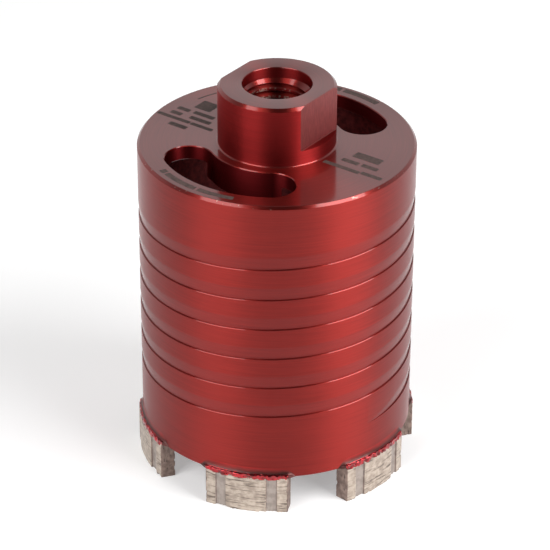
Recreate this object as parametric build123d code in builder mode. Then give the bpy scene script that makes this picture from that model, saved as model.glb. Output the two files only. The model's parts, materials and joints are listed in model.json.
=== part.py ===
from build123d import *
import math
import os

# A dry diamond core bit: a turned steel barrel with its head and threaded hub in one piece,
# and a ring of pressed diamond segments brazed to the barrel's lower edge.
# The origin is the centre of the circle that the segments stand on, and +Z runs up the axis.

# The cut, and the barrel set back from it
cut_diameter = 68.0
barrel_setback = 1.0
barrel_wall = 2.2
barrel_length = 73.4
head_thickness = 3.6
rim_chamfer = 0.6
inside_corner = 1.5

# Hub for an M16 x 2 spindle: the bore is drilled to the crests of the thread
hub_diameter = 28.0
hub_height = 15.0
hub_chamfer = 0.7
hub_root = 0.4
boss_step = 3.0
boss_depth = 4.0
thread_bore_diameter = 14.0
lead_in_step = 1.25
lead_in_depth = 2.7
flat_depth = 2.0
flat_foot = 3.75
flat_angle = -36.0

# Kidney-shaped slots that let the dust out and the plug of stone be pushed free
slot_count = 2
slot_hub_land = 2.45
slot_rim_land = 4.95
slot_sweep = 63.0
slot_angle = 55.0
slot_edge_break = 0.25

# Spiral chip groove: a shallow one-start right-hand recess with a square ledge at its foot
groove_lead = 8.0
groove_depth = 0.3
groove_floor = 2.6
groove_slope = 0.9
groove_foot_margin = 10.3
groove_head_margin = 12.4
groove_foot_angle = -30.0
groove_runout = 28.0
runout_clearance = 0.12

# Diamond segments: parallel-sided blocks bent to the cut, with two flat channels down the face
segment_count = 6
segment_thickness = 3.4
segment_height = 9.6
segment_width = 20.2
segment_angle = -102.4
channel_width = 2.5
channel_depth = 0.5
channel_margin = 2.55

# Brazing filler along the step between the barrel and a segment, hollow-faced like a weld
braze_height = 2.4
braze_waist = 0.38
braze_lip = 0.7
braze_overrun = 0.8
braze_corner = 1.6
braze_inset = 0.05

# Sizes that follow from the ones above
cut_radius = cut_diameter / 2
barrel_radius = cut_radius - barrel_setback
bore_radius = barrel_radius - barrel_wall
hub_radius = hub_diameter / 2
boss_radius = hub_radius + boss_step
thread_bore_radius = thread_bore_diameter / 2
lead_in_radius = thread_bore_radius + lead_in_step
slot_inner_radius = hub_radius + slot_hub_land
slot_outer_radius = barrel_radius - slot_rim_land
segment_inner_radius = cut_radius - segment_thickness
edge_level = segment_height
head_level = edge_level + barrel_length
under_head_level = head_level - head_thickness
boss_level = under_head_level - boss_depth
hub_level = head_level + hub_height
lead_in_level = hub_level - lead_in_depth

os.makedirs("parts", exist_ok=True)


def spiral_cut(start_radius, end_radius, foot, start_angle, turned):
    """One stretch of the chip groove: its section carried up a helix, straight or flared."""
    rise = groove_lead * turned / 360
    flare = math.atan2(end_radius - start_radius, rise)
    slant_lead = groove_lead / math.cos(flare)
    with BuildPart() as stretch:
        with BuildLine() as path:
            Helix(slant_lead, rise, start_radius, (0, 0, foot), cone_angle=math.degrees(flare))
        with BuildSketch(Plane.XZ):
            with BuildLine():
                Polyline(
                    (start_radius + groove_depth, foot),
                    (start_radius - groove_depth, foot),
                    (start_radius - groove_depth, foot + groove_floor),
                    (start_radius + groove_depth, foot + groove_floor + 2 * groove_slope),
                    close=True,
                )
            make_face()
        sweep(path=path.wires()[0], is_frenet=True)
    return stretch.part.rotate(Axis.Z, start_angle)


# The groove's full depth runs from its foot to its head, with a run-out at each end
# where the tool leaves the steel.
groove_foot_level = edge_level + groove_foot_margin
groove_head_level = head_level - groove_head_margin
groove_turned = 360 * (groove_head_level - groove_foot_level) / groove_lead
runout_rise = groove_lead * groove_runout / 360
clear_radius = barrel_radius + groove_depth + runout_clearance
groove_stretches = [
    spiral_cut(
        clear_radius,
        barrel_radius,
        groove_foot_level - runout_rise,
        groove_foot_angle - groove_runout,
        groove_runout,
    ),
    spiral_cut(barrel_radius, barrel_radius, groove_foot_level, groove_foot_angle, groove_turned),
    spiral_cut(
        barrel_radius,
        clear_radius,
        groove_head_level,
        groove_foot_angle + groove_turned,
        groove_runout,
    ),
]

# The body is turned from one half section, then milled.
with BuildPart() as body:
    with BuildSketch(Plane.XZ):
        with BuildLine():
            Polyline(
                (thread_bore_radius, boss_level),
                (boss_radius, boss_level),
                (boss_radius, under_head_level),
                (bore_radius, under_head_level),
                (bore_radius, edge_level),
                (barrel_radius, edge_level),
                (barrel_radius, head_level),
                (hub_radius, head_level),
                (hub_radius, hub_level),
                (lead_in_radius, hub_level),
                (lead_in_radius, lead_in_level),
                (thread_bore_radius, lead_in_level - lead_in_step),
                close=True,
            )
        make_face()
    revolve(axis=Axis.Z)

    rings = body.edges().filter_by(GeomType.CIRCLE)
    hub_rings = rings.filter_by_position(Axis.Z, hub_level, hub_level).sort_by(SortBy.RADIUS)
    head_rings = rings.filter_by_position(Axis.Z, head_level, head_level).sort_by(SortBy.RADIUS)
    under_rings = rings.filter_by_position(Axis.Z, under_head_level, under_head_level)
    chamfer(hub_rings[-1], hub_chamfer)
    chamfer(head_rings[-1], rim_chamfer)
    chamfer(head_rings[0], hub_root)
    chamfer(under_rings.sort_by(SortBy.RADIUS)[-1], inside_corner)

    # Two wrench flats, milled down to a shelf above the head
    with BuildSketch(Plane.XY.offset(head_level + flat_foot).rotated((0, 0, flat_angle))):
        with Locations((hub_radius, 0), (-hub_radius, 0)):
            Rectangle(2 * flat_depth, hub_diameter)
    extrude(amount=hub_height, mode=Mode.SUBTRACT)

    # The slots pass through the head and shave the boss under it
    slot_path_radius = (slot_inner_radius + slot_outer_radius) / 2
    with BuildSketch(Plane.XY.offset(head_level)):
        with PolarLocations(0, slot_count, slot_angle):
            SlotArc(
                CenterArc((0, 0), slot_path_radius, -slot_sweep / 2, slot_sweep, mode=Mode.PRIVATE),
                slot_outer_radius - slot_inner_radius,
            )
    extrude(amount=boss_level - head_level, mode=Mode.SUBTRACT)
    head_face = body.faces().filter_by(Plane.XY).filter_by_position(Axis.Z, head_level, head_level)[0]
    slot_outlines = [wire for wire in head_face.inner_wires() if len(wire.edges()) > 1]
    chamfer([edge for wire in slot_outlines for edge in wire.edges()], slot_edge_break)

    for stretch in groove_stretches:
        add(stretch, mode=Mode.SUBTRACT)
body.part.label = "body"
export_step(body.part, "parts/body.step")

# One segment, modelled across +X with its foot on the ground, then turned to each place
with BuildPart() as segment:
    with BuildSketch():
        Circle(cut_radius)
        Circle(segment_inner_radius, mode=Mode.SUBTRACT)
        with Locations((cut_radius, 0)):
            Rectangle(cut_diameter, segment_width, mode=Mode.INTERSECT)
    extrude(amount=segment_height)

    channel_centre = segment_width / 2 - channel_margin - channel_width / 2
    channel_turn = math.degrees(math.asin(channel_centre / cut_radius))
    with BuildSketch():
        with PolarLocations(cut_radius, 2, -channel_turn, 2 * channel_turn, endpoint=True):
            Rectangle(2 * channel_depth, channel_width)
    extrude(amount=segment_height, mode=Mode.SUBTRACT)

# The filler over one segment: a turned section whose outline is rounded off at both ends
with BuildPart() as braze:
    lip_radius = cut_radius - braze_inset
    with BuildSketch(Plane.XZ):
        with BuildLine():
            Polyline(
                (barrel_radius, edge_level),
                (lip_radius, edge_level),
                (lip_radius, edge_level + braze_lip),
                (barrel_radius + braze_waist, edge_level + (braze_lip + braze_height) / 2),
                (barrel_radius, edge_level + braze_height),
                close=True,
            )
        make_face()
    revolve(axis=Axis.Z)

    with BuildSketch(Plane.YZ):
        with Locations((0, edge_level)):
            Rectangle(segment_width + 2 * braze_overrun, 2 * braze_height)
        fillet(vertices().group_by(Axis.Z)[-1], braze_corner)
    extrude(amount=cut_diameter, mode=Mode.INTERSECT)

for index in range(segment_count):
    turn = segment_angle + index * 360 / segment_count
    for name, piece in (("diamond_segment", segment.part), ("braze_fillet", braze.part)):
        placed = piece.rotate(Axis.Z, turn)
        placed.label = f"{name}_{index + 1}"
        export_step(placed, f"parts/{placed.label}.step")
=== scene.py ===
import bpy
import json
from math import asin, cos, pi, radians, sin
from mathutils import Matrix, Vector, noise

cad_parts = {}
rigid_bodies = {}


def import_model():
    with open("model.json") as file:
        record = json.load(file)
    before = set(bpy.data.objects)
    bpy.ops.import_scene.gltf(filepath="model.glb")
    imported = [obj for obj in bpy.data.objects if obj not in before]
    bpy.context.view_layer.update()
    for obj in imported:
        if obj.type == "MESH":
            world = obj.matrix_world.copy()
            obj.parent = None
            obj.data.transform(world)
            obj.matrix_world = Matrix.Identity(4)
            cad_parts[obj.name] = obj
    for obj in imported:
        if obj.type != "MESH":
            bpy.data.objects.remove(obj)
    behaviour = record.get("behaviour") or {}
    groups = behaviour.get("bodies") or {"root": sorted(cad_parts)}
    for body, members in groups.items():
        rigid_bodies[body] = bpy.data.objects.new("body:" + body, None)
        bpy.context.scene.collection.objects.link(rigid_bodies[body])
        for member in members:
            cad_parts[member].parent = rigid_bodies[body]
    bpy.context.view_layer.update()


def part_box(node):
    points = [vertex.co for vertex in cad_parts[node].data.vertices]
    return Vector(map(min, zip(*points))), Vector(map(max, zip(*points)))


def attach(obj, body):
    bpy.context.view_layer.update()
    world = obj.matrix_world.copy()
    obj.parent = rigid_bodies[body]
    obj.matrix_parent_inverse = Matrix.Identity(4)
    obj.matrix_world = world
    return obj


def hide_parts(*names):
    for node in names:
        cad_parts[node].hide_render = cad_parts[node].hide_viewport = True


# A dry diamond core bit: a red lacquered steel body with diamond segments brazed to it
for spare in list(bpy.data.objects):
    bpy.data.objects.remove(spare)
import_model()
scene = bpy.context.scene
scene.view_settings.view_transform = "Standard"

# Body. The barrel, head and threaded hub are one steel turning, lacquered red. Its outline
# is turned first, and the flats, slots, chip groove and thread are then cut from it.
mm = 0.001
body_low, body_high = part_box("body")
edge_level = body_low.z
hub_level = body_high.z
barrel_radius = body_high.x
barrel_wall = 2.2 * mm
bore_radius = barrel_radius - barrel_wall
hub_height = 15 * mm
head_level = hub_level - hub_height
head_thickness = 3.6 * mm
under_head_level = head_level - head_thickness
boss_depth = 4 * mm
boss_level = under_head_level - boss_depth
hub_radius = 14 * mm
boss_radius = 17 * mm
lead_in_radius = 8.25 * mm
lead_in_depth = 2.7 * mm
lead_in_level = hub_level - lead_in_depth
crest_radius = 7 * mm
rim_chamfer = 0.6 * mm
hub_chamfer = 0.7 * mm
hub_root_round = 0.4 * mm
inside_corner = 1.5 * mm
edge_round = 0.1 * mm
edge_sag = 0.3 * edge_round
corner_break = 3 * edge_round
round_steps = 256


def rounded_corner(centre, radius, start_angle, end_angle, steps):
    """Points of a small round in the outline, as (radius, level) pairs."""
    points = []
    for step in range(steps + 1):
        angle = radians(start_angle + (end_angle - start_angle) * step / steps)
        points.append((centre[0] + radius * cos(angle), centre[1] + radius * sin(angle)))
    return points


outline = [
    (barrel_radius, edge_level + edge_round),
    (barrel_radius, head_level - rim_chamfer - edge_round),
    (barrel_radius - edge_sag, head_level - rim_chamfer),
    (barrel_radius - rim_chamfer, head_level - edge_sag),
    (barrel_radius - rim_chamfer - edge_round, head_level),
    (hub_radius + 2 * hub_root_round, head_level),
]
outline += rounded_corner(
    (hub_radius + hub_root_round, head_level + hub_root_round), hub_root_round, 270, 180, 6
)
outline += [
    (hub_radius, head_level + 3 * hub_root_round),
    (hub_radius, hub_level - hub_chamfer - edge_round),
    (hub_radius - edge_sag, hub_level - hub_chamfer),
    (hub_radius - hub_chamfer, hub_level - edge_sag),
    (hub_radius - hub_chamfer - edge_round, hub_level),
    (lead_in_radius + corner_break, hub_level),
    (lead_in_radius + edge_round, hub_level - edge_sag),
    (lead_in_radius, hub_level - 1.5 * edge_round),
    (lead_in_radius, lead_in_level),
    (crest_radius, lead_in_level - (lead_in_radius - crest_radius)),
    (crest_radius, boss_level + corner_break),
    (crest_radius + corner_break, boss_level),
    (boss_radius - corner_break, boss_level),
    (boss_radius, boss_level + corner_break),
    (boss_radius, under_head_level),
    (bore_radius - inside_corner, under_head_level),
    (bore_radius, under_head_level - inside_corner),
    (bore_radius, edge_level + edge_round),
    (bore_radius + edge_round, edge_level),
    (barrel_radius - edge_round, edge_level),
    (barrel_radius, edge_level + edge_round),
]

bpy.ops.object.select_all(action="DESELECT")
bpy.ops.mesh.primitive_circle_add(
    vertices=round_steps,
    radius=outline[0][0],
    fill_type="NOTHING",
    location=(0, 0, outline[0][1]),
)
body = bpy.context.object
body.name = "core_bit_body"
bpy.ops.object.transform_apply(location=True, rotation=True, scale=True)
bpy.ops.object.mode_set(mode="EDIT")
bpy.ops.mesh.select_all(action="SELECT")
for (radius, level), (next_radius, next_level) in zip(outline, outline[1:]):
    bpy.ops.mesh.extrude_edges_move(TRANSFORM_OT_translate={"value": (0, 0, next_level - level)})
    if next_radius != radius:
        bpy.ops.transform.resize(value=(next_radius / radius, next_radius / radius, 1))
bpy.ops.mesh.select_all(action="SELECT")
bpy.ops.mesh.remove_doubles(threshold=0.002 * mm)
bpy.ops.mesh.normals_make_consistent(inside=False)
bpy.ops.object.mode_set(mode="OBJECT")


def cut_with(piece, cutter):
    """Takes the cutter's shape out of the piece, and throws the cutter away."""
    tool = piece.modifiers.new(cutter.name, "BOOLEAN")
    tool.object = cutter
    tool.operation = "DIFFERENCE"
    tool.solver = "EXACT"
    bpy.ops.object.select_all(action="DESELECT")
    bpy.context.view_layer.objects.active = piece
    bpy.ops.object.modifier_apply(modifier=tool.name)
    bpy.data.objects.remove(cutter)


def pick(piece, wanted):
    """Selects the vertices for which wanted(place) holds, and stays in edit mode."""
    bpy.ops.object.mode_set(mode="EDIT")
    bpy.ops.mesh.select_mode(type="VERT")
    bpy.ops.mesh.select_all(action="DESELECT")
    bpy.ops.object.mode_set(mode="OBJECT")
    for vertex in piece.data.vertices:
        vertex.select = wanted(vertex.co)
    bpy.ops.object.mode_set(mode="EDIT")


# Two wrench flats on the hub, milled down to a shelf above the head. The mill's rounded
# corner leaves a small round at the foot of each.
flat_depth = 2 * mm
flat_foot = 3.75 * mm
flat_level = head_level + flat_foot
flat_turn = radians(-36)
mill_thickness = 10 * mm
mill_width = 40 * mm
mill_height = 20 * mm
mill_corner = 0.3 * mm
for side in range(2):
    turn = flat_turn + side * pi
    reach = hub_radius - flat_depth + mill_thickness / 2
    bpy.ops.object.select_all(action="DESELECT")
    bpy.ops.mesh.primitive_cube_add(
        size=1,
        location=(reach * cos(turn), reach * sin(turn), flat_level + mill_height / 2),
        rotation=(0, 0, turn),
        scale=(mill_thickness, mill_width, mill_height),
    )
    cutter = bpy.context.object
    cutter.name = "flat_mill"
    bpy.ops.object.transform_apply(location=True, rotation=True, scale=True)
    outwards = Vector((cos(turn), sin(turn), 0))
    pick(cutter, lambda place: place.z < flat_level + mm and place.dot(outwards) < hub_radius)
    bpy.ops.mesh.bevel(offset=mill_corner, segments=8, affect="EDGES")
    bpy.ops.object.mode_set(mode="OBJECT")
    cut_with(body, cutter)

# Two kidney slots: an end mill plunges at each end, and the arc between is swept
slot_inner_radius = 16.45 * mm
slot_outer_radius = 28.05 * mm
slot_radius = (slot_inner_radius + slot_outer_radius) / 2
mill_radius = (slot_outer_radius - slot_inner_radius) / 2
slot_sweep = radians(63)
slot_turn = radians(55)
slot_break = 0.2 * mm
mill_foot = boss_level - mm
for side in range(2):
    first_end = slot_turn + side * pi - slot_sweep / 2
    for end in (first_end, first_end + slot_sweep):
        bpy.ops.object.select_all(action="DESELECT")
        bpy.ops.mesh.primitive_circle_add(
            vertices=96,
            radius=mill_radius,
            fill_type="NGON",
            location=(slot_radius * cos(end), slot_radius * sin(end), mill_foot),
            rotation=(0, 0, end),
        )
        cutter = bpy.context.object
        cutter.name = "slot_plunge"
        bpy.ops.object.transform_apply(location=True, rotation=True, scale=True)
        bpy.ops.object.mode_set(mode="EDIT")
        bpy.ops.mesh.select_all(action="SELECT")
        wall = head_level - slot_break - mill_foot
        flare = 1 + 2 * slot_break / mill_radius
        bpy.ops.mesh.extrude_region_move(TRANSFORM_OT_translate={"value": (0, 0, wall)})
        bpy.ops.mesh.extrude_region_move(
            TRANSFORM_OT_translate={"value": (0, 0, 2 * slot_break)}
        )
        bpy.ops.transform.resize(value=(flare, flare, 1))
        bpy.ops.mesh.select_all(action="SELECT")
        bpy.ops.mesh.normals_make_consistent(inside=False)
        bpy.ops.object.mode_set(mode="OBJECT")
        cut_with(body, cutter)
    section = [
        (slot_inner_radius, mill_foot),
        (slot_outer_radius, mill_foot),
        (slot_outer_radius, head_level - slot_break),
        (slot_outer_radius + 2 * slot_break, head_level + slot_break),
        (slot_inner_radius - 2 * slot_break, head_level + slot_break),
        (slot_inner_radius, head_level - slot_break),
    ]
    bpy.ops.object.select_all(action="DESELECT")
    bpy.ops.mesh.primitive_circle_add(vertices=len(section), radius=mm, fill_type="NGON")
    cutter = bpy.context.object
    cutter.name = "slot_sweep"
    for vertex, (radius, level) in zip(cutter.data.vertices, section):
        vertex.co = (radius * cos(first_end), radius * sin(first_end), level)
    bpy.ops.object.mode_set(mode="EDIT")
    bpy.ops.mesh.select_all(action="SELECT")
    bpy.ops.mesh.spin(steps=48, angle=-slot_sweep, center=(0, 0, 0), axis=(0, 0, 1))
    bpy.ops.mesh.select_all(action="SELECT")
    bpy.ops.mesh.remove_doubles(threshold=0.001 * mm)
    bpy.ops.mesh.normals_make_consistent(inside=False)
    bpy.ops.object.mode_set(mode="OBJECT")
    cut_with(body, cutter)
# The slots' lower edges are broken too, up to where they meet the boss
touching = 0.01 * mm
lower_break = 0.25 * mm
clear_of_boss = boss_radius + 0.3 * mm
past_slot = slot_outer_radius + 0.2 * mm
pick(
    body,
    lambda place: abs(place.z - under_head_level) < touching
    and clear_of_boss < place.xy.length < past_slot,
)
bpy.ops.mesh.bevel(offset=lower_break, segments=2, affect="EDGES")
bpy.ops.object.mode_set(mode="OBJECT")


def spiral_tool(name, section, lead, turns, steps, start_turn):
    """A closed cutter whose (radius, level) section climbs a right-hand spiral."""
    bpy.ops.object.select_all(action="DESELECT")
    bpy.ops.mesh.primitive_circle_add(vertices=len(section), radius=mm, fill_type="NOTHING")
    tool = bpy.context.object
    tool.name = name
    for vertex, (radius, level) in zip(tool.data.vertices, section):
        vertex.co = (radius * cos(start_turn), radius * sin(start_turn), level)
    climb = tool.modifiers.new("climb", "SCREW")
    climb.axis = "Z"
    climb.angle = 2 * pi * turns
    climb.screw_offset = lead * turns
    climb.steps = round(steps * turns)
    climb.render_steps = round(steps * turns)
    bpy.ops.object.modifier_apply(modifier=climb.name)
    bpy.ops.object.mode_set(mode="EDIT")
    bpy.ops.mesh.select_all(action="SELECT")
    bpy.ops.mesh.fill_holes(sides=len(section))
    bpy.ops.mesh.select_all(action="SELECT")
    bpy.ops.mesh.normals_make_consistent(inside=False)
    bpy.ops.object.mode_set(mode="OBJECT")
    return tool


# Spiral chip groove: a shallow right-hand recess with a square ledge at its foot,
# and a run-out at each end where the tool leaves the steel
groove_lead = 8 * mm
groove_depth = 0.3 * mm
groove_floor = 0.3 * mm
groove_taper = 3.3 * mm
taper_curve = 1.4
taper_steps = 8
groove_foot_margin = 10.3 * mm
groove_head_margin = 12.4 * mm
groove_foot_level = edge_level + groove_foot_margin
groove_head_level = head_level - groove_head_margin
groove_foot_turn = radians(-30)
groove_turns = (groove_head_level - groove_foot_level) / groove_lead
groove_clear = 0.3 * mm
ledge_break = 0.07 * mm
ledge_break_drop = 0.13 * mm
runout = radians(28)
runout_turns = runout / (2 * pi)
runout_clearance = 0.12 * mm
section = [
    (barrel_radius + groove_clear, -ledge_break_drop * (1 + groove_clear / ledge_break)),
    (barrel_radius, -ledge_break_drop),
    (barrel_radius - ledge_break, 0),
    (barrel_radius - groove_depth, 0),
]
for step in range(taper_steps + 1):
    part_way = step / taper_steps
    depth = groove_depth * (1 - part_way) ** taper_curve
    section.append((barrel_radius - depth, groove_floor + groove_taper * part_way))
section.append((barrel_radius + groove_clear, groove_floor + groove_taper))
first_level = groove_foot_level - groove_lead * runout_turns
first_turn = groove_foot_turn - runout
last_level = groove_head_level + groove_lead * runout_turns
last_turn = groove_foot_turn + 2 * pi * groove_turns + runout
groove = spiral_tool(
    "groove_tool",
    [(radius, level + first_level) for radius, level in section],
    groove_lead,
    groove_turns + 2 * runout_turns,
    round_steps,
    first_turn,
)
end_height = 4 * mm
for turn, level in ((first_turn, first_level), (last_turn, last_level)):
    outwards = Vector((cos(turn), sin(turn), 0))
    pick(
        groove,
        lambda place: abs(place.z - level - groove_taper / 2) < end_height
        and (place - outwards * barrel_radius).xy.length < groove_depth + 2 * groove_clear,
    )
    bpy.ops.transform.translate(
        value=outwards * (groove_depth + runout_clearance),
        use_proportional_edit=True,
        proportional_edit_falloff="LINEAR",
        proportional_size=barrel_radius * runout,
        use_proportional_connected=True,
    )
    bpy.ops.object.mode_set(mode="OBJECT")
cut_with(body, groove)

# The M16 x 2 thread, cut from the lead-in down through the boss
thread_lead = 2 * mm
thread_root_radius = 8.03 * mm
thread_mouth = 0.75 * mm
thread_root = 0.125 * mm
thread_flank = (thread_mouth - thread_root) / (thread_root_radius - crest_radius)
thread_inside = 0.2 * mm
thread_steps = 96
thread_start_turn = radians(100)
thread_foot_level = boss_level - 1.5 * mm
thread_head_level = lead_in_level + 1.2 * mm
section = [
    (crest_radius - thread_inside, -thread_mouth - thread_flank * thread_inside),
    (thread_root_radius, -thread_root),
    (thread_root_radius, thread_root),
    (crest_radius - thread_inside, thread_mouth + thread_flank * thread_inside),
]
thread = spiral_tool(
    "thread_tap",
    [(radius, level + thread_foot_level) for radius, level in section],
    thread_lead,
    (thread_head_level - thread_foot_level) / thread_lead,
    thread_steps,
    thread_start_turn,
)
cut_with(body, thread)

bpy.ops.object.select_all(action="DESELECT")
bpy.context.view_layer.objects.active = body
body.select_set(True)
smooth_below = radians(12)
bpy.ops.object.shade_smooth_by_angle(angle=smooth_below)

# Red lacquer over the turned steel: the tool marks run round the axis on walls and faces
# alike, so light is spread across them, and the clear coat on top stays glossy
lacquer = bpy.data.materials.new("red_lacquer")
lacquer.use_nodes = True
nodes, links = lacquer.node_tree.nodes, lacquer.node_tree.links
shader = nodes["Principled BSDF"]
shader.inputs["Metallic"].default_value = 1
shader.inputs["Roughness"].default_value = 0.48
shader.inputs["Anisotropic"].default_value = 0.8
shader.inputs["Anisotropic Rotation"].default_value = 0.25
shader.inputs["Coat Weight"].default_value = 0.42
shader.inputs["Coat Roughness"].default_value = 0.09
shader.inputs["Coat IOR"].default_value = 1.3
round_axis = nodes.new("ShaderNodeTangent")
round_axis.direction_type = "RADIAL"
round_axis.axis = "Z"
links.new(round_axis.outputs["Tangent"], shader.inputs["Tangent"])
place = nodes.new("ShaderNodeTexCoord")
parts = nodes.new("ShaderNodeSeparateXYZ")
links.new(place.outputs["Object"], parts.inputs["Vector"])
spoke = nodes.new("ShaderNodeCombineXYZ")
links.new(parts.outputs["X"], spoke.inputs["X"])
links.new(parts.outputs["Y"], spoke.inputs["Y"])
reach = nodes.new("ShaderNodeVectorMath")
reach.operation = "LENGTH"
links.new(spoke.outputs["Vector"], reach.inputs[0])
outline_run = nodes.new("ShaderNodeMath")
outline_run.operation = "ADD"
links.new(reach.outputs["Value"], outline_run.inputs[0])
links.new(parts.outputs["Z"], outline_run.inputs[1])
turned = nodes.new("ShaderNodeCombineXYZ")
links.new(parts.outputs["X"], turned.inputs["X"])
links.new(parts.outputs["Y"], turned.inputs["Y"])
links.new(outline_run.outputs["Value"], turned.inputs["Z"])
feed = nodes.new("ShaderNodeMapping")
feed.inputs["Scale"].default_value = (70, 70, 4200)
links.new(turned.outputs["Vector"], feed.inputs["Vector"])
tool_marks = nodes.new("ShaderNodeTexNoise")
tool_marks.inputs["Scale"].default_value = 1
tool_marks.inputs["Detail"].default_value = 4
links.new(feed.outputs["Vector"], tool_marks.inputs["Vector"])
paint = nodes.new("ShaderNodeValToRGB")
paint.color_ramp.elements[0].position = 0.3
paint.color_ramp.elements[0].color = (0.222, 0.0182, 0.015, 1)
paint.color_ramp.elements[1].position = 0.7
paint.color_ramp.elements[1].color = (0.278, 0.0228, 0.0188, 1)
links.new(tool_marks.outputs["Fac"], paint.inputs["Fac"])
# The paint is knocked off in specks along the rim's chamfer, and worn off the thread's crests
rim_run = barrel_radius + head_level - rim_chamfer
rim_zone = nodes.new("ShaderNodeMapRange")
rim_zone.inputs["From Min"].default_value = rim_run - 0.12 * mm
rim_zone.inputs["From Max"].default_value = rim_run + 0.02 * mm
links.new(outline_run.outputs["Value"], rim_zone.inputs["Value"])
specks = nodes.new("ShaderNodeTexNoise")
specks.inputs["Scale"].default_value = 1300
specks.inputs["Detail"].default_value = 3
links.new(place.outputs["Object"], specks.inputs["Vector"])
knocks = nodes.new("ShaderNodeMapRange")
knocks.inputs["From Min"].default_value = 0.65
knocks.inputs["From Max"].default_value = 0.73
links.new(specks.outputs["Fac"], knocks.inputs["Value"])
rim_wear = nodes.new("ShaderNodeMath")
rim_wear.operation = "MULTIPLY"
links.new(rim_zone.outputs["Result"], rim_wear.inputs[0])
links.new(knocks.outputs["Result"], rim_wear.inputs[1])
crest_zone = nodes.new("ShaderNodeMapRange")
crest_zone.inputs["From Min"].default_value = crest_radius + 0.25 * mm
crest_zone.inputs["From Max"].default_value = crest_radius + 0.05 * mm
links.new(reach.outputs["Value"], crest_zone.inputs["Value"])
rub = nodes.new("ShaderNodeMapRange")
rub.inputs["From Min"].default_value = 0.50
rub.inputs["From Max"].default_value = 0.64
links.new(specks.outputs["Fac"], rub.inputs["Value"])
crest_wear = nodes.new("ShaderNodeMath")
crest_wear.operation = "MULTIPLY"
links.new(crest_zone.outputs["Result"], crest_wear.inputs[0])
links.new(rub.outputs["Result"], crest_wear.inputs[1])
worn = nodes.new("ShaderNodeMath")
worn.operation = "MAXIMUM"
links.new(rim_wear.outputs["Value"], worn.inputs[0])
links.new(crest_wear.outputs["Value"], worn.inputs[1])
bared = nodes.new("ShaderNodeMix")
bared.data_type = "RGBA"
bared.inputs["B"].default_value = (0.43, 0.28, 0.23, 1)
links.new(worn.outputs["Value"], bared.inputs["Factor"])
links.new(paint.outputs["Color"], bared.inputs["A"])
links.new(bared.outputs["Result"], shader.inputs["Base Color"])
ridges = nodes.new("ShaderNodeBump")
ridges.inputs["Strength"].default_value = 0.15
ridges.inputs["Distance"].default_value = 0.01 * mm
links.new(tool_marks.outputs["Fac"], ridges.inputs["Height"])
links.new(ridges.outputs["Normal"], shader.inputs["Normal"])


def recoat(name, lacquer_before, dark=None, pale=None):
    """A copy of a lacquer, in other reds where they are given, and the copy's shader."""
    coat = lacquer_before.copy()
    coat.name = name
    if dark:
        reds = coat.node_tree.nodes["Color Ramp"].color_ramp.elements
        reds[0].color = dark
        reds[1].color = pale
    return coat, coat.node_tree.nodes["Principled BSDF"]


# On faces that look upwards the lacquer lies thicker
thick_lacquer, shader = recoat("red_lacquer_thick", lacquer)
shader.inputs["Coat Weight"].default_value = 1
shader.inputs["Coat IOR"].default_value = 1.95
shader.inputs["Coat Roughness"].default_value = 0.12
# On the hub's sides and in the bore it is thin
thin_lacquer, shader = recoat(
    "red_lacquer_thin", lacquer, (0.198, 0.0135, 0.0135, 1), (0.242, 0.0165, 0.0165, 1)
)
shader.inputs["Coat Weight"].default_value = 0.02
shader.inputs["Specular Tint"].default_value = (0.9, 0.6, 0.6, 1)
# It is as thin in the slots, and painted darker there as shade in the slots
shaded_slot_lacquer, shader = recoat(
    "red_lacquer_painted_shade_in_slots", thin_lacquer, (0.12, 0.0075, 0.0092, 1), (0.153, 0.01, 0.0117, 1)
)
# In the groove it is satin
satin_lacquer, shader = recoat(
    "red_lacquer_satin", lacquer, (0.2, 0.0166, 0.0142, 1), (0.25, 0.0208, 0.0178, 1)
)
shader.inputs["Coat Weight"].default_value = 0.72
# On the broken edges it is glossy
edge_lacquer, shader = recoat("red_lacquer_on_edges", lacquer)
shader.inputs["Coat Weight"].default_value = 1
shader.inputs["Coat IOR"].default_value = 1.45
shader.inputs["Roughness"].default_value = 0.35

# On the flats the mill's strokes show through a dull coat
milled = bpy.data.materials.new("red_lacquer_milled")
milled.use_nodes = True
nodes, links = milled.node_tree.nodes, milled.node_tree.links
shader = nodes["Principled BSDF"]
shader.inputs["Metallic"].default_value = 0.8
shader.inputs["Roughness"].default_value = 0.5
shader.inputs["Coat Weight"].default_value = 0.22
shader.inputs["Coat Roughness"].default_value = 0.3
place = nodes.new("ShaderNodeTexCoord")
strokes = nodes.new("ShaderNodeMapping")
strokes.inputs["Scale"].default_value = (3500, 3500, 500)
links.new(place.outputs["Object"], strokes.inputs["Vector"])
grain = nodes.new("ShaderNodeTexNoise")
grain.inputs["Scale"].default_value = 1
grain.inputs["Detail"].default_value = 4
links.new(strokes.outputs["Vector"], grain.inputs["Vector"])
paint = nodes.new("ShaderNodeValToRGB")
paint.color_ramp.elements[0].position = 0.35
paint.color_ramp.elements[0].color = (0.175, 0.031, 0.03, 1)
paint.color_ramp.elements[1].position = 0.65
paint.color_ramp.elements[1].color = (0.245, 0.047, 0.045, 1)
links.new(grain.outputs["Fac"], paint.inputs["Fac"])
links.new(paint.outputs["Color"], shader.inputs["Base Color"])
strokes_relief = nodes.new("ShaderNodeBump")
strokes_relief.inputs["Strength"].default_value = 0.2
strokes_relief.inputs["Distance"].default_value = 0.02 * mm
links.new(grain.outputs["Fac"], strokes_relief.inputs["Height"])
links.new(strokes_relief.outputs["Normal"], shader.inputs["Normal"])


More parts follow.
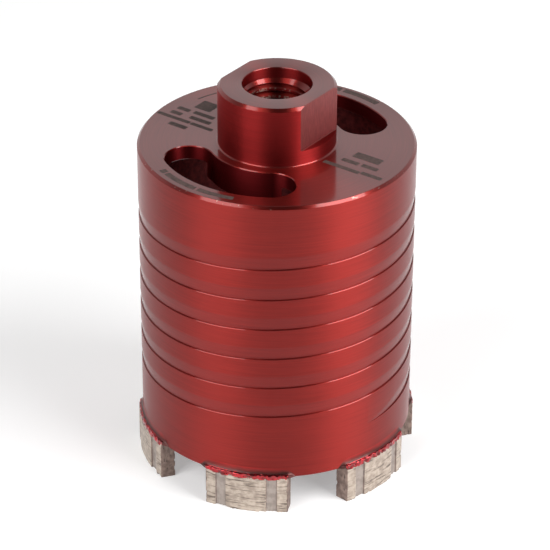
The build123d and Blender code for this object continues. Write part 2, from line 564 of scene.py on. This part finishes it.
def clouded(name, scale, detail, dark, pale):
    """A new material in clouds of a dark and a pale shade, and its shader."""
    material = bpy.data.materials.new(name)
    material.use_nodes = True
    nodes, links = material.node_tree.nodes, material.node_tree.links
    place = nodes.new("ShaderNodeTexCoord")
    clouds = nodes.new("ShaderNodeTexNoise")
    clouds.inputs["Scale"].default_value = scale
    clouds.inputs["Detail"].default_value = detail
    links.new(place.outputs["Object"], clouds.inputs["Vector"])
    tint = nodes.new("ShaderNodeValToRGB")
    tint.color_ramp.elements[0].position = 0.35
    tint.color_ramp.elements[0].color = dark
    tint.color_ramp.elements[1].position = 0.65
    tint.color_ramp.elements[1].color = pale
    links.new(clouds.outputs["Fac"], tint.inputs["Fac"])
    links.new(tint.outputs["Color"], nodes["Principled BSDF"].inputs["Base Color"])
    return material, nodes["Principled BSDF"]


# Inside the barrel only a dusting of paint has reached the steel
overspray, shader = clouded(
    "red_overspray", 900, 5, (0.14, 0.0225, 0.025, 1), (0.31, 0.056, 0.056, 1)
)
shader.inputs["Metallic"].default_value = 0.6
shader.inputs["Roughness"].default_value = 0.55

for finish in (
    lacquer,
    thick_lacquer,
    milled,
    thin_lacquer,
    overspray,
    satin_lacquer,
    shaded_slot_lacquer,
    edge_lacquer,
):
    body.data.materials.append(finish)
on_barrel, on_top, on_flats, on_hub, on_inside, in_groove, in_slots_shaded, on_edges = range(8)
margin = 0.5 * mm
broken_below = under_head_level + lower_break + touching
flat_way = Vector((cos(flat_turn), sin(flat_turn), 0))
for face in body.data.polygons:
    reach = face.center.xy.length
    level = face.center.z
    turned_out = face.normal.xy.dot(face.center.xy) / reach
    milled_face = abs(abs(face.center.dot(flat_way)) - hub_radius + flat_depth) < touching
    if under_head_level + touching < level < broken_below and face.normal.z < -0.2:
        face.material_index = on_top
    elif face.normal.z < -0.5:
        face.material_index = on_inside
    elif abs(level - flat_level) < touching:
        face.material_index = on_hub
    elif face.normal.z > 0.9:
        face.material_index = on_top
    elif face.normal.z > 0.3:
        face.material_index = on_edges
    elif milled_face and level > flat_level:
        face.material_index = on_flats
    elif reach > barrel_radius - 2 * touching:
        face.material_index = on_barrel
    elif reach > barrel_radius - 2 * margin:
        face.material_index = in_groove
    elif reach > slot_outer_radius + margin:
        face.material_index = on_inside
    elif abs(reach - boss_radius) < 5 * touching and turned_out > 0.99:
        face.material_index = on_inside
    elif reach > hub_radius + margin:
        # The slots' walls take the lacquer painted darker as shade
        face.material_index = in_slots_shaded
    else:
        face.material_index = on_hub
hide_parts("body")
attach(body, "root")

# Laser marks. The paint is burnt away in thin dull patches on the head, here plain bars and
# arcs. The rows run square to the wrench flats, and (along, across, length, height) in
# millimetres places each bar.
mark_sunk = 0.01 * mm
mark_thickness = 0.03 * mm
mark_corner = 0.25 * mm
mark_foot_level = head_level - mark_sunk
mark_bars = []
for along, across, length, height in (
    (-27.7, -2.9, 3.2, 1.4),
    (-20.7, -2.7, 6.1, 1.4),
    (-27.4, -0.3, 3.5, 1.4),
    (-21.5, -0.1, 6.0, 1.4),
    (-26.7, -5.2, 9.6, 1.2),
    (-18.4, -5.2, 6.4, 1.2),
    (-23.4, -7.9, 5.1, 1.5),
    (-23.8, 4.1, 4.6, 4.3),
    (19.9, -2.0, 10.0, 1.3),
    (28.0, -1.6, 5.6, 1.3),
    (20.1, 1.4, 4.6, 1.4),
    (25.4, 1.6, 4.4, 1.4),
    (22.5, 5.1, 7.3, 2.6),
):
    middle = flat_way * along * mm + Vector((-flat_way.y, flat_way.x, 0)) * across * mm
    bpy.ops.object.select_all(action="DESELECT")
    bpy.ops.mesh.primitive_plane_add(
        size=1,
        location=(middle.x, middle.y, mark_foot_level),
        rotation=(0, 0, flat_turn),
    )
    bar = bpy.context.object
    bar.scale = (length * mm, height * mm, 1)
    bpy.ops.object.transform_apply(location=True, rotation=True, scale=True)
    bpy.ops.object.mode_set(mode="EDIT")
    bpy.ops.mesh.select_all(action="SELECT")
    bpy.ops.mesh.bevel(offset=mark_corner, segments=3, affect="VERTICES")
    bpy.ops.mesh.select_all(action="SELECT")
    bpy.ops.mesh.extrude_region_move(TRANSFORM_OT_translate={"value": (0, 0, mark_thickness)})
    bpy.ops.object.mode_set(mode="OBJECT")
    mark_bars.append(bar)
# Each arc has a middle radius and a height in millimetres, and runs between two angles in degrees
for radius, height, first, last in (
    (30.4, 1.6, -150.5, -147.5),
    (30.4, 1.4, -146.5, -128),
    (30.3, 1.4, -126.5, -109),
    (30.8, 1.6, 38.5, 58),
    (30.8, 1.6, 59.5, 76),
    (28.6, 0.35, 118, 132),
):
    bpy.ops.object.select_all(action="DESELECT")
    bpy.ops.mesh.primitive_plane_add(size=1, location=(0, 0, 0))
    bar = bpy.context.object
    inner, outer = (radius - height / 2) * mm, (radius + height / 2) * mm
    low, high = mark_foot_level, mark_foot_level + mark_thickness
    corners = ((inner, low), (outer, low), (inner, high), (outer, high))
    start = radians(first)
    for vertex, (reach, level) in zip(bar.data.vertices, corners):
        vertex.co = (reach * cos(start), reach * sin(start), level)
    bpy.ops.object.mode_set(mode="EDIT")
    bpy.ops.mesh.select_all(action="SELECT")
    bpy.ops.mesh.spin(
        steps=16, angle=-radians(last - first), center=(0, 0, 0), axis=(0, 0, 1)
    )
    bpy.ops.object.mode_set(mode="OBJECT")
    mark_bars.append(bar)
bpy.ops.object.select_all(action="DESELECT")
for bar in mark_bars:
    bar.select_set(True)
marks = mark_bars[0]
bpy.context.view_layer.objects.active = marks
bpy.ops.object.join()
marks.name = "plain_laser_marks"
bpy.ops.object.mode_set(mode="EDIT")
bpy.ops.mesh.select_all(action="SELECT")
bpy.ops.mesh.remove_doubles(threshold=0.001 * mm)
bpy.ops.mesh.normals_make_consistent(inside=False)
bpy.ops.object.mode_set(mode="OBJECT")
burn, shader = clouded("laser_burn", 1500, 3, (0.06, 0.04, 0.036, 1), (0.1, 0.064, 0.057, 1))
shader.inputs["Roughness"].default_value = 0.6
shader.inputs["Specular IOR Level"].default_value = 0.25
marks.data.materials.append(burn)
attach(marks, "root")

# Diamond segments. Each is a hot-pressed block of metal powder and diamond grit, bent to
# the cut and ground on its outer face, with two flat channels, brazed on edge to the barrel.
segment_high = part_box("diamond_segment_3")[1]
cut_radius = segment_high.x
segment_height = segment_high.z
segment_wall = 3.4 * mm
segment_inner_radius = cut_radius - segment_wall
segment_width = 20.2 * mm
segment_count = 6
segment_turn = radians(-102.4)
segment_grain = 0.17 * mm
top_break = 0.25 * mm
channel_width = 2.5 * mm
channel_depth = 0.5 * mm
channel_margin = 2.55 * mm
block_spread = radians(21)


def bent_block(name, section, spread, width):
    """A (radius, level) section carried round an arc across +X, with parallel sides."""
    bpy.ops.object.select_all(action="DESELECT")
    bpy.ops.mesh.primitive_circle_add(vertices=len(section), radius=mm, fill_type="NGON")
    piece = bpy.context.object
    piece.name = name
    for vertex, (radius, level) in zip(piece.data.vertices, section):
        vertex.co = (radius * cos(-spread), radius * sin(-spread), level)
    bpy.ops.object.mode_set(mode="EDIT")
    bpy.ops.mesh.select_all(action="SELECT")
    bpy.ops.mesh.spin(steps=60, angle=-2 * spread, center=(0, 0, 0), axis=(0, 0, 1))
    bpy.ops.mesh.select_all(action="SELECT")
    bpy.ops.mesh.remove_doubles(threshold=0.001 * mm)
    bpy.ops.mesh.normals_make_consistent(inside=False)
    for side in (-1, 1):
        bpy.ops.mesh.select_all(action="SELECT")
        bpy.ops.mesh.bisect(
            plane_co=(0, side * width / 2, 0),
            plane_no=(0, side, 0),
            use_fill=True,
            clear_outer=True,
        )
    bpy.ops.object.mode_set(mode="OBJECT")
    return piece


def fuse_skin(piece, grain):
    """Remakes the piece's skin in an even mesh, which softens its edges by one grain."""
    skin = piece.modifiers.new("skin", "REMESH")
    skin.mode = "VOXEL"
    skin.voxel_size = grain
    skin.use_smooth_shade = True
    bpy.ops.object.select_all(action="DESELECT")
    bpy.context.view_layer.objects.active = piece
    bpy.ops.object.modifier_apply(modifier=skin.name)


pattern_block = bent_block(
    "segment_pattern",
    [
        (segment_inner_radius, 0),
        (cut_radius, 0),
        (cut_radius, segment_height - top_break),
        (cut_radius - top_break, segment_height),
        (segment_inner_radius, segment_height),
    ],
    block_spread,
    segment_width,
)
channel_middle = segment_width / 2 - channel_margin - channel_width / 2
for side in (-1, 1):
    turn = side * asin(channel_middle / cut_radius)
    bpy.ops.object.select_all(action="DESELECT")
    bpy.ops.mesh.primitive_cube_add(
        size=1,
        location=(cut_radius * cos(turn), cut_radius * sin(turn), segment_height / 2),
        rotation=(0, 0, turn),
        scale=(2 * channel_depth, channel_width, 2 * segment_height),
    )
    cutter = bpy.context.object
    cutter.name = "channel_mill"
    bpy.ops.object.transform_apply(location=True, rotation=True, scale=True)
    cut_with(pattern_block, cutter)
fuse_skin(pattern_block, segment_grain)


def sintered(name, strokes, metallic, roughness, dark, pale, scored, scored_below, relief_depth):
    """Sintered metal in a dark and a pale shade, with fine strokes scored along it."""
    sinter = bpy.data.materials.new(name)
    sinter.use_nodes = True
    nodes, links = sinter.node_tree.nodes, sinter.node_tree.links
    shader = nodes["Principled BSDF"]
    shader.inputs["Metallic"].default_value = metallic
    shader.inputs["Roughness"].default_value = roughness
    place = nodes.new("ShaderNodeTexCoord")
    mottle = nodes.new("ShaderNodeTexNoise")
    mottle.inputs["Scale"].default_value = 700
    mottle.inputs["Detail"].default_value = 5
    links.new(place.outputs["Object"], mottle.inputs["Vector"])
    tint = nodes.new("ShaderNodeValToRGB")
    tint.color_ramp.elements[0].position = 0.36
    tint.color_ramp.elements[0].color = dark
    tint.color_ramp.elements[1].position = 0.62
    tint.color_ramp.elements[1].color = pale
    links.new(mottle.outputs["Fac"], tint.inputs["Fac"])
    stretch = nodes.new("ShaderNodeMapping")
    stretch.inputs["Scale"].default_value = strokes
    links.new(place.outputs["Object"], stretch.inputs["Vector"])
    grain = nodes.new("ShaderNodeTexNoise")
    grain.inputs["Scale"].default_value = 1
    grain.inputs["Detail"].default_value = 5
    grain.inputs["Roughness"].default_value = 0.6
    links.new(stretch.outputs["Vector"], grain.inputs["Vector"])
    scores = nodes.new("ShaderNodeMapRange")
    scores.inputs["From Min"].default_value = scored_below
    scores.inputs["From Max"].default_value = scored_below - 0.12
    links.new(grain.outputs["Fac"], scores.inputs["Value"])
    struck = nodes.new("ShaderNodeMix")
    struck.data_type = "RGBA"
    struck.inputs["B"].default_value = scored
    links.new(scores.outputs["Result"], struck.inputs["Factor"])
    links.new(tint.outputs["Color"], struck.inputs["A"])
    links.new(struck.outputs["Result"], shader.inputs["Base Color"])
    relief = nodes.new("ShaderNodeBump")
    relief.inputs["Strength"].default_value = 0.4
    relief.inputs["Distance"].default_value = relief_depth
    links.new(grain.outputs["Fac"], relief.inputs["Height"])
    links.new(relief.outputs["Normal"], shader.inputs["Normal"])
    return sinter


# Grinding strokes run round the outer face
ground_face = sintered(
    "ground_face",
    strokes=(240, 240, 2300),
    metallic=0.3,
    roughness=0.42,
    dark=(0.325, 0.262, 0.214, 1),
    pale=(0.5, 0.417, 0.345, 1),
    scored=(0.115, 0.084, 0.066, 1),
    scored_below=0.475,
    relief_depth=0.05 * mm,
)
# The press leaves the channels smooth
pressed_channel = sintered(
    "pressed_channel",
    strokes=(2200, 2200, 200),
    metallic=0.4,
    roughness=0.4,
    dark=(0.27, 0.225, 0.2, 1),
    pale=(0.365, 0.31, 0.275, 1),
    scored=(0.19, 0.157, 0.139, 1),
    scored_below=0.4,
    relief_depth=0.015 * mm,
)
# Ends, back and top keep their dark skin
pressed_end = sintered(
    "pressed_end",
    strokes=(1500, 1500, 500),
    metallic=0.3,
    roughness=0.55,
    dark=(0.14, 0.092, 0.076, 1),
    pale=(0.265, 0.188, 0.155, 1),
    scored=(0.054, 0.035, 0.03, 1),
    scored_below=0.45,
    relief_depth=0.05 * mm,
)
for skin in (ground_face, pressed_channel, pressed_end):
    pattern_block.data.materials.append(skin)
ground, in_channel, unground = range(3)
skin_margin = 0.1 * mm
for face in pattern_block.data.polygons:
    aside = abs(face.center.y)
    reach = face.center.xy.length
    on_end = aside > segment_width / 2 - 0.12 * mm
    on_back = reach < segment_inner_radius + margin
    over_channel = abs(aside - channel_middle) < channel_width / 2 + skin_margin
    if on_end or on_back or face.normal.z > 0.8:
        face.material_index = unground
    elif over_channel and reach < cut_radius - skin_margin:
        face.material_index = unground if abs(face.normal.y) > 0.75 else in_channel
    else:
        face.material_index = ground


def copy_turned(pattern, name, turn):
    """A copy of a pattern piece with its own mesh, turned round the axis to its place."""
    piece = pattern.copy()
    piece.data = pattern.data.copy()
    piece.name = name
    scene.collection.objects.link(piece)
    piece.data.transform(Matrix.Rotation(turn, 4, "Z"))
    return piece


def clamped(share):
    """The share, kept between 0 and 1."""
    return max(0, min(1, share))


# Pressing and use leave the skin uneven and the edges chipped, and under the beads the face
# is tucked in
skin_relief = 0.05 * mm
chip_depth = 0.55 * mm
chip_reach = 0.9 * mm
tuck_depth = 0.2 * mm
tuck_height = 0.8 * mm
tuck_run = 0.6 * mm
for index in range(segment_count):
    turn = segment_turn + index * 2 * pi / segment_count
    segment = copy_turned(pattern_block, f"ground_segment_{index + 1}", turn)
    middle = Vector((cos(turn), sin(turn), 0))
    across = Vector((-sin(turn), cos(turn), 0))
    for vertex in segment.data.vertices:
        spot = vertex.co.copy()
        radius = spot.xy.length
        along = spot.dot(across)
        to_side = abs(segment_width / 2 - abs(along))
        to_face = abs(min(cut_radius - radius, radius - segment_inner_radius))
        to_top = abs(min(spot.z, segment_height - spot.z))
        # On an edge two of the three skins are near, so the second nearest tells how far it is
        to_edge = sorted((to_side, to_face, to_top))[1]
        chip = max(0, 1 - to_edge / chip_reach) * max(0, noise.noise(spot * 900) - 0.1)
        unevenness = skin_relief * abs(noise.noise(spot * 1500))
        centre = middle * (cut_radius - segment_wall / 2) + across * along * 0.9
        centre.z = spot.z * 0.8 + segment_height * 0.1
        inwards = (centre - spot).normalized()
        tuck = clamped((spot.z - segment_height + tuck_height) / tuck_run)
        tuck *= max(0, radius - cut_radius + tuck_depth)
        vertex.co = spot + inwards * (chip * chip_depth + unevenness) - middle * tuck
    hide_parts(f"diamond_segment_{index + 1}")
    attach(segment, "root")
bpy.data.objects.remove(pattern_block)

# Brazing fillets. Filler runs along the step over each segment, hollow like a weld and
# darker low down, and stands in a row of glossy beads along the segment's top edge.
braze_height = 2.6 * mm
braze_overhang = 2.3 * mm
braze_grain = 0.13 * mm
bead_drop = 0.4 * mm
bead_height = 0.8 * mm
bead_foot = segment_height - bead_drop
bead_top = segment_height + bead_height
braze_top = segment_height + braze_height
root_radius = barrel_radius - 0.5 * mm
lip_radius = cut_radius - 0.15 * mm
hollow_steps = 8
section = [(root_radius, bead_foot), (lip_radius, bead_foot)]
for step in range(hollow_steps + 1):
    angle = radians(90 - 90 * step / hollow_steps)
    radius = barrel_radius + (lip_radius - barrel_radius) * (1 - cos(angle))
    level = bead_top + (braze_top - bead_top) * (1 - sin(angle))
    section.append((radius, level))
section.append((root_radius, braze_top))
pattern_braze = bent_block(
    "braze_pattern", section, block_spread, segment_width + 2 * braze_overhang
)
fuse_skin(pattern_braze, braze_grain)

# The lacquer on the flare is darker and browner low down, near the beads
flare = recoat("flare_darker_low", lacquer)[0]
nodes, links = flare.node_tree.nodes, flare.node_tree.links
place = nodes.new("ShaderNodeTexCoord")
parts = nodes.new("ShaderNodeSeparateXYZ")
links.new(place.outputs["Object"], parts.inputs["Vector"])
cloud = nodes.new("ShaderNodeTexNoise")
cloud.inputs["Scale"].default_value = 500
cloud.inputs["Detail"].default_value = 4
links.new(place.outputs["Object"], cloud.inputs["Vector"])
wander = nodes.new("ShaderNodeMath")
wander.operation = "MULTIPLY_ADD"
wander.inputs[1].default_value = 0.8 * mm
links.new(cloud.outputs["Fac"], wander.inputs[0])
links.new(parts.outputs["Z"], wander.inputs[2])
low_darkening_reach = nodes.new("ShaderNodeMapRange")
low_darkening_reach.inputs["From Min"].default_value = segment_height + 1.6 * mm
low_darkening_reach.inputs["From Max"].default_value = segment_height + 2.7 * mm
links.new(wander.outputs["Value"], low_darkening_reach.inputs["Value"])
low_darkening = nodes.new("ShaderNodeValToRGB")
low_darkening.color_ramp.elements[0].color = (0.103, 0.035, 0.032, 1)
low_darkening.color_ramp.elements[1].color = (0.333, 0.0242, 0.0217, 1)
links.new(low_darkening_reach.outputs["Result"], low_darkening.inputs["Fac"])
links.new(low_darkening.outputs["Color"], nodes["Principled BSDF"].inputs["Base Color"])
# The beads have a glassy skin
beads, shader = clouded("glossy_beads", 800, 2, (0.13, 0.0012, 0.003, 1), (0.5, 0.012, 0.02, 1))
shader.inputs["Metallic"].default_value = 1
shader.inputs["Roughness"].default_value = 0.2
shader.inputs["Coat Weight"].default_value = 0.8
shader.inputs["Coat Roughness"].default_value = 0.05
for finish in (flare, beads):
    pattern_braze.data.materials.append(finish)
in_flare, in_beads = range(2)
for face in pattern_braze.data.polygons:
    over_segment = abs(face.center.y) < segment_width / 2 + skin_margin
    low = face.center.z < bead_top + 2 * skin_margin
    face.material_index = in_beads if low and over_segment else in_flare


def eased(share):
    """The share, kept between 0 and 1 and slowed near both."""
    share = clamped(share)
    return share * share * (3 - 2 * share)


# The flare thins out to nothing past the segment's ends, and the beads stop at them
flare_sunk = 0.05 * mm
flare_foot_fade = braze_overhang + 0.3 * mm
flare_top_fade = braze_overhang + 1.6 * mm
above_segment = 0.03 * mm
lump_width = 0.35 * mm
lump_height = 0.2 * mm
lumps_end = bead_top + 0.35 * mm
lumps_fade = 0.45 * mm
lumps_root = 0.3 * mm
for index in range(segment_count):
    turn = segment_turn + index * 2 * pi / segment_count
    braze = copy_turned(pattern_braze, f"braze_beads_{index + 1}", turn)
    across = Vector((-sin(turn), cos(turn), 0))
    for vertex in braze.data.vertices:
        spot = vertex.co.copy()
        radius = spot.xy.length
        aside = abs(spot.dot(across))
        outwards = Vector((spot.x, spot.y, 0)).normalized()
        to_end = segment_width / 2 + braze_overhang - aside
        proud = max(0, radius - barrel_radius)
        stay = eased(to_end / flare_foot_fade)
        shrink = (proud + flare_sunk) * (1 - stay)
        foot = segment_height + bead_height * stay
        level = min(spot.z, foot + max(0, spot.z - foot) * eased(to_end / flare_top_fade))
        if aside > segment_width / 2 - skin_margin:
            level = max(level, segment_height + above_segment)
        elif proud > lumps_root:
            lump = noise.noise(spot * 1000) + 0.35 * noise.noise(spot * 2100)
            lump *= clamped((lumps_end - level) / lumps_fade)
            shrink -= min(lump * lump_width, cut_radius - radius)
            level -= lump * lump_height
        vertex.co = outwards * (radius - shrink) + Vector((0, 0, level))
    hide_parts(f"braze_fillet_{index + 1}")
    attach(braze, "root")
bpy.data.objects.remove(pattern_braze)

# Camera. It stands at the photograph's place with a long lens, and looks down on the head
# from 30 degrees above it.
camera = bpy.data.objects.new("camera", bpy.data.cameras.new("camera"))
scene.collection.objects.link(camera)
camera.data.lens = 184.05
camera.data.sensor_width = 36
camera_place = Matrix.Translation((0, -0.58746, 0.3902))
camera_yaw = Matrix.Rotation(radians(0.035), 4, "Z")
camera_tilt = Matrix.Rotation(radians(90 - 30.355), 4, "X")
camera_roll = Matrix.Rotation(radians(0.196), 4, "Z")
camera.matrix_world = camera_place @ camera_yaw @ camera_tilt @ camera_roll
scene.camera = camera

# Table and room. The bit stands on a wide white table, in a white room that is dimmer
# overhead and behind the camera.
table_width = 8
bpy.ops.object.select_all(action="DESELECT")
bpy.ops.mesh.primitive_plane_add(size=table_width, location=(0, 0, 0))
table = bpy.context.object
table.name = "table"
table_paint = bpy.data.materials.new("white_table")
table_paint.use_nodes = True
nodes, links = table_paint.node_tree.nodes, table_paint.node_tree.links
shader = nodes["Principled BSDF"]
shader.inputs["Base Color"].default_value = (0.78, 0.78, 0.78, 1)
shader.inputs["Roughness"].default_value = 0.9
shader.inputs["Specular IOR Level"].default_value = 0
shader.inputs["Emission Color"].default_value = (1, 1, 1, 1)
shader.inputs["Emission Strength"].default_value = 0.34
table.data.materials.append(table_paint)

world = bpy.data.worlds.new("room")
scene.world = world
world.use_nodes = True
nodes, links = world.node_tree.nodes, world.node_tree.links
background = nodes["Background"]
background.inputs["Color"].default_value = (1, 1, 1, 1)
direction = nodes.new("ShaderNodeTexCoord")
parts = nodes.new("ShaderNodeSeparateXYZ")
links.new(direction.outputs["Generated"], parts.inputs["Vector"])
overhead = nodes.new("ShaderNodeMapRange")
overhead.inputs["From Min"].default_value = 0.45
overhead.inputs["From Max"].default_value = 0.85
overhead.inputs["To Min"].default_value = 0.6
overhead.inputs["To Max"].default_value = 0.1
links.new(parts.outputs["Z"], overhead.inputs["Value"])
behind = nodes.new("ShaderNodeMapRange")
behind.inputs["From Min"].default_value = -0.3
behind.inputs["From Max"].default_value = 0.3
behind.inputs["To Min"].default_value = 0.3
behind.inputs["To Max"].default_value = 1.15
links.new(parts.outputs["Y"], behind.inputs["Value"])
room_light = nodes.new("ShaderNodeMath")
room_light.operation = "MULTIPLY"
links.new(overhead.outputs["Result"], room_light.inputs[0])
links.new(behind.outputs["Result"], room_light.inputs[1])
links.new(room_light.outputs["Value"], background.inputs["Strength"])

# A tall softbox on each side of the camera, and a weak wide one overhead
lamp_aim = Vector((0, 0, 0.05))
for name, azimuth, elevation, distance, width, height, power in (
    ("left_softbox", -48, 30, 0.9, 0.62, 0.95, 6.6),
    ("right_softbox", 60, 30, 0.9, 0.62, 0.95, 11.2),
    ("top_softbox", 180, 80, 1.4, 1.6, 1.6, 0.6),
):
    lamp = bpy.data.objects.new(name, bpy.data.lights.new(name, "AREA"))
    scene.collection.objects.link(lamp)
    lamp.data.shape = "RECTANGLE"
    lamp.data.size = width
    lamp.data.size_y = height
    lamp.data.energy = power
    around, up = radians(azimuth), radians(elevation)
    away = Vector((cos(up) * sin(around), -cos(up) * cos(around), sin(up)))
    lamp.location = lamp_aim + away * distance
    lamp.rotation_euler = (-away).to_track_quat("-Z", "Y").to_euler()
